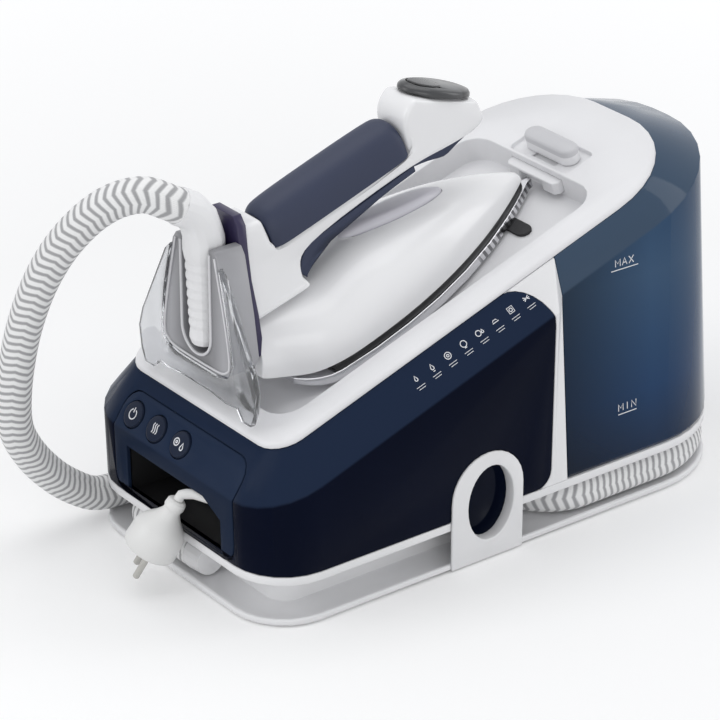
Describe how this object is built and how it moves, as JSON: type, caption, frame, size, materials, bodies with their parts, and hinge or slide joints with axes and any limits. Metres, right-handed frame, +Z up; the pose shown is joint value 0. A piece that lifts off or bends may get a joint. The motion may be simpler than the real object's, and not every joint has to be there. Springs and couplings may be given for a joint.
{
  "type": "steam generator iron",
  "caption": "Steam generator ironing station with a sloping deck, pull-out water tank, hose and cord stores, and a hose-fed iron resting in the tray.",
  "frame": {"origin": "under the middle of the station, on the surface that its feet stand on", "axes": "+X from the control panel to the water tank, +Y away from the hose ring's side, +Z up"},
  "size_m": [0.5138, 0.2263, 0.3146],
  "materials": {
    "white_plastic": "satin",
    "navy_plastic": "gloss",
    "black_plastic": "matte",
    "grey_plastic": "satin",
    "violet_plastic": "satin",
    "lilac_plastic": "satin",
    "soft_grip": "matte",
    "rubber": "matte",
    "clear_plastic": "clear",
    "blue_plastic": "clear",
    "steel": "polished",
    "alloy": "cast",
    "brass": "satin",
    "board": "satin",
    "hose_textile": "woven",
    "cord_white": "matte"
  },
  "bodies": {
    "station": {"foot_front_far": "rubber", "foot_front_near": "rubber", "foot_rear_far": "rubber", "foot_rear_near": "rubber", "base_pan": "white_plastic", "chassis_floor": "white_plastic", "hose_ring": "white_plastic", "hose_pocket": "navy_plastic", "body_shell": "navy_plastic", "front_fascia": "navy_plastic", "button_board": "board", "cord_bin": "black_plastic", "cord_gland": "black_plastic", "mains_cord_hank": "cord_white", "mains_cord": "cord_white", "mains_plug": "cord_white", "bulkhead": "white_plastic", "top_deck": "white_plastic", "rest_pad_front": "rubber", "rest_pad_rear": "rubber", "tank_spigot": "black_plastic", "boiler": "steel", "boiler_cradle": "alloy", "solenoid_valve": "brass", "pump": "black_plastic", "control_board": "board", "feed_tube": "grey_plastic", "pressure_tube": "steel", "hose_outlet": "white_plastic", "steam_hose_stowed": "hose_textile", "steam_hose_arc": "hose_textile"},
    "iron": {"soleplate": "steel", "heat_shield": "black_plastic", "heater_casting": "alloy", "iron_cover": "white_plastic", "top_inlay": "lilac_plastic", "handle_shell": "white_plastic", "grip_top": "soft_grip", "grip_under": "soft_grip", "trigger_pin": "steel", "microswitch": "black_plastic", "control_cap": "black_plastic", "rear_trim": "violet_plastic", "heel_panel": "grey_plastic", "heel_stand": "clear_plastic", "hose_boot": "white_plastic", "thermostat": "alloy", "iron_steam_pipe": "steel"},
    "tank": {"water_tank": "blue_plastic", "filler_cap": "black_plastic", "tank_valve": "white_plastic"},
    "lock": {"lock_slider": "white_plastic"},
    "power": {"power_button": "navy_plastic"},
    "steam": {"steam_button": "navy_plastic"},
    "reset": {"reset_button": "navy_plastic"},
    "mode": {"mode_button": "black_plastic"},
    "trigger": {"steam_trigger": "navy_plastic"}
  },
  "joints": [
    {"name": "iron_lift", "type": "slide", "parent": "station", "child": "iron", "axis": [-0.3247, 0, 0.9458], "range_m": [0, 0.12], "deforming": ["steam_hose_arc"]},
    {"name": "tank_pull", "type": "slide", "parent": "station", "child": "tank", "axis": [1, 0, 0], "range_m": [0, 0.19]},
    {"name": "lock_slide", "type": "slide", "parent": "station", "child": "lock", "axis": [-0.9458, 0, -0.3247], "range_m": [0, 0.007]},
    {"name": "power_press", "type": "slide", "parent": "station", "child": "power", "axis": [0.822, 0, -0.5695], "range_m": [0, 0.0012], "stiffness_N_per_m": 600, "springref_m": -0.001},
    {"name": "steam_press", "type": "slide", "parent": "station", "child": "steam", "axis": [0.822, 0, -0.5695], "range_m": [0, 0.0012], "stiffness_N_per_m": 600, "springref_m": -0.001},
    {"name": "reset_press", "type": "slide", "parent": "station", "child": "reset", "axis": [0.822, 0, -0.5695], "range_m": [0, 0.0012], "stiffness_N_per_m": 600, "springref_m": -0.001},
    {"name": "mode_press", "type": "slide", "parent": "iron", "child": "mode", "axis": [-0.2723, 0, -0.9622], "range_m": [0, 0.001], "stiffness_N_per_m": 600, "springref_m": -0.001},
    {"name": "trigger_swing", "type": "hinge", "parent": "iron", "child": "trigger", "pos_m": [-0.01522, 0, 0.26143], "axis": [0, -1, 0], "range_deg": [0, 5], "stiffness_Nm_per_rad": 0.5, "springref_deg": -8.59}
  ]
}
